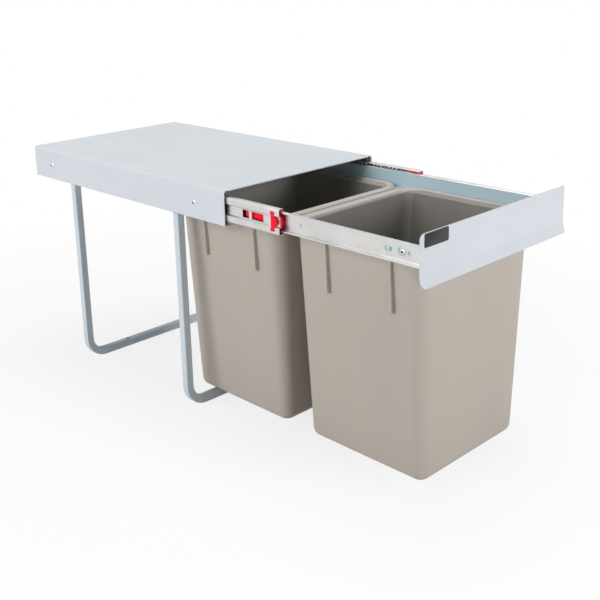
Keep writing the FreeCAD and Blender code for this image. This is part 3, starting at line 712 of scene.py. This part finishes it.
def shortenArms(bm, side):
    # the arms end above the balls, which show beneath them
    inwards = Vector((-side, 0, 0))
    start = atSlide(side, armShape["depth"], 0, 0)
    bmesh.ops.bisect_plane(bm, geom=bm.verts[:] + bm.edges[:] + bm.faces[:], plane_co=start,
                           plane_no=inwards)
    for way in (-1, 1):
        arm = [face for face in bm.faces if way * (face.calc_center_median().z - slideZ) > 0
               and all((vert.co - start).dot(inwards) > -nearby for vert in face.verts)]
        around = eachOnce(item for face in arm for item in face.verts[:] + face.edges[:])
        end = atSlide(side, 0, 0, way * armShape["height"])
        bmesh.ops.bisect_plane(bm, geom=arm + around, plane_co=end, plane_no=(0, 0, -way),
                               clear_outer=True)
    bmesh.ops.holes_fill(bm, edges=[edge for edge in bm.edges if edge.is_boundary])


sheetShape = {"flatTurn": 0.4, "sheetAngle": 32, "tubeAngle": 50}      # degrees


def smoothCopy(nodeName, pieceName, finish, slotName, body):
    # the folded CAD sheet with its loose triangles joined, so that its bends shade round
    bm = bmesh.new()
    bm.from_mesh(cadNodes[nodeName].data)
    bmesh.ops.remove_doubles(bm, verts=bm.verts, dist=mergeReach)
    if nodeName.startswith("slide_middle"):
        shortenArms(bm, sides[nodeName.split("_")[-1]])
    bmesh.ops.dissolve_limit(bm, angle_limit=math.radians(sheetShape["flatTurn"]), verts=bm.verts,
                             edges=bm.edges)
    mesh = meshFrom(bm, pieceName)
    for name in ("custom_normal", "sharp_edge", "sharp_face"):
        if name in mesh.attributes:
            mesh.attributes.remove(mesh.attributes[name])
    smoothAngle = sheetShape["tubeAngle" if nodeName.startswith("floor") else "sheetAngle"]
    piece = keepPiece(pieceName, mesh, [finish], body, [nodeName], smoothAngle)
    shading = piece.modifiers.new("even shading", "WEIGHTED_NORMAL")
    shading.keep_sharp = True


sheetPieces = [
    ("cover", "cover_sheet", coverPaint, "cover_paint", "base"),
    ("front_panel", "panel_sheet", coverPaint, "cover_paint", "drawer"),
    ("floor_frame_front", "tube_front", tubePaint, "tube_paint", "base"),
    ("floor_frame_rear", "tube_rear", tubePaint, "tube_paint", "base"),
]
for sideName in sides:
    sheetPieces += [
        (f"frame_side_{sideName}", f"drawer_side_{sideName}", drawerPaint, "drawer_paint",
         "drawer"),
        (f"slide_middle_{sideName}", f"middle_member_{sideName}", zincStrip, "zinc", "middle"),
        (f"slide_inner_{sideName}", f"inner_member_{sideName}", zincStrip, "zinc", "drawer"),
        # the outer members take the darkened zinc, which is painted shade
        (f"slide_outer_{sideName}", f"outer_member_{sideName}", shadedZinc, "zinc", "base"),
    ]
for row in sheetPieces:
    smoothCopy(*row)
print("folded sheet pieces smoothed")


def seenShare(tree):
    # one where the camera, a reflection or a view through glass meets the surface, else nought
    path = tree.nodes.new("ShaderNodeLightPath")
    result = path.outputs["Is Camera Ray"]
    for name in ("Is Glossy Ray", "Is Transmission Ray"):
        larger = tree.nodes.new("ShaderNodeMath")
        larger.operation = "MAXIMUM"
        tree.links.new(result, larger.inputs[0])
        tree.links.new(path.outputs[name], larger.inputs[1])
        result = larger.outputs[0]
    return result


floorShape = {
    "reach": 6.0,                           # from its middle to its edges
    "centre": (0, -0.15, -0.0006),
    "white": 0.88,
    "roughness": 0.9,
    "glow": ((0.35, 0.8), (1.0, 1.0)),      # distance from the origin, share of plain white
}


def makeFloor():
    # full white to the camera, except that some of its real shading is kept near the bin
    bm = bmesh.new()
    bmesh.ops.create_grid(bm, x_segments=1, y_segments=1, size=floorShape["reach"],
                          matrix=Matrix.Translation(floorShape["centre"]))
    floor = bpy.data.objects.new("floor", meshFrom(bm, "floor"))
    scene.collection.objects.link(floor)
    finish = Finish("pale floor", floorShape["roughness"])
    finish.shader.inputs["Base Color"].default_value = (*[floorShape["white"]] * 3, 1)
    glow = finish.node("ShaderNodeEmission")
    distance = finish.node("ShaderNodeVectorMath")
    distance.operation = "LENGTH"
    finish.link(finish.stretched((1, 1, 0)), distance.inputs[0])
    amount = finish.node("ShaderNodeMath")
    amount.operation = "MULTIPLY"
    finish.link(seenShare(finish.tree), amount.inputs[0])
    finish.link(finish.ramp(distance.outputs["Value"], floorShape["glow"]), amount.inputs[1])
    mix = finish.node("ShaderNodeMixShader")
    finish.link(amount.outputs[0], mix.inputs[0])
    finish.link(finish.shader.outputs[0], mix.inputs[1])
    finish.link(glow.outputs[0], mix.inputs[2])
    finish.link(mix.outputs[0], finish.tree.nodes["Material Output"].inputs["Surface"])
    floor.data.materials.append(finish.material)


makeFloor()

worldShape = {"light": 0.12, "seen": 1.0}


def makeWorld():
    # white where it is seen, faint where it lights the part
    world = bpy.data.worlds.new("studio")
    scene.world = world
    world.use_nodes = True
    tree = world.node_tree
    background = tree.nodes["Background"]
    background.inputs["Color"].default_value = (1, 1, 1, 1)
    strength = tree.nodes.new("ShaderNodeMapRange")
    strength.inputs["To Min"].default_value = worldShape["light"]
    strength.inputs["To Max"].default_value = worldShape["seen"]
    tree.links.new(seenShare(tree), strength.inputs["Value"])
    tree.links.new(strength.outputs["Result"], background.inputs["Strength"])


makeWorld()

studioLamps = {
    "left": {"place": (-2.7, 0.25, 1.3), "aim": (0, -0.2, 0.2), "size": 2.0, "power": 53},
    "right front": {"place": (0.7, -2.95, 0.85), "aim": (0, -0.3, 0.2), "size": 1.1, "power": 43},
    "top": {"place": (0.25, 0.1, 2.4), "aim": (0, -0.1, 0.3), "size": 1.3, "power": 27},
}
for lampName, lamp in studioLamps.items():
    light = bpy.data.lights.new(lampName, "AREA")
    light.shape = "SQUARE"
    light.size = lamp["size"]
    light.energy = lamp["power"]
    holder = bpy.data.objects.new(lampName, light)
    way = Vector(lamp["aim"]) - Vector(lamp["place"])
    holder.location = lamp["place"]
    holder.rotation_euler = way.to_track_quat("-Z", "Y").to_euler()
    scene.collection.objects.link(holder)
print("floor and light set")

cameraView = {
    "focalPixels": 957.56,
    "imageSide": 600,
    "sensor": 36,
    "turn": -44.29,             # degrees round the bin, 0 is from the front
    "rise": 15.045,
    "roll": -1.382,
    "place": (-0.93787, -1.19826, 0.65679),
    "shiftDown": 0.15,
    "farEnd": 50,
}


def makeCamera():
    turn, rise, roll = (math.radians(cameraView[key]) for key in ("turn", "rise", "roll"))
    back = Vector((math.sin(turn) * math.cos(rise), -math.cos(turn) * math.cos(rise),
                   math.sin(rise)))
    right = Vector((0, 0, 1)).cross(back).normalized()
    up = back.cross(right)
    tiltedRight = right * math.cos(roll) + up * math.sin(roll)
    tiltedUp = up * math.cos(roll) - right * math.sin(roll)
    camera = bpy.data.cameras.new("photo camera")
    camera.sensor_width = cameraView["sensor"]
    camera.lens = cameraView["sensor"] * cameraView["focalPixels"] / cameraView["imageSide"]
    camera.shift_y = -cameraView["shiftDown"]
    camera.clip_end = cameraView["farEnd"]
    holder = bpy.data.objects.new("photo camera", camera)
    matrix = Matrix((tiltedRight, tiltedUp, back)).transposed().to_4x4()
    matrix.translation = Vector(cameraView["place"])
    holder.matrix_world = matrix
    scene.collection.objects.link(holder)
    scene.camera = holder


makeCamera()
scene.view_settings.view_transform = "Standard"
print("camera set")
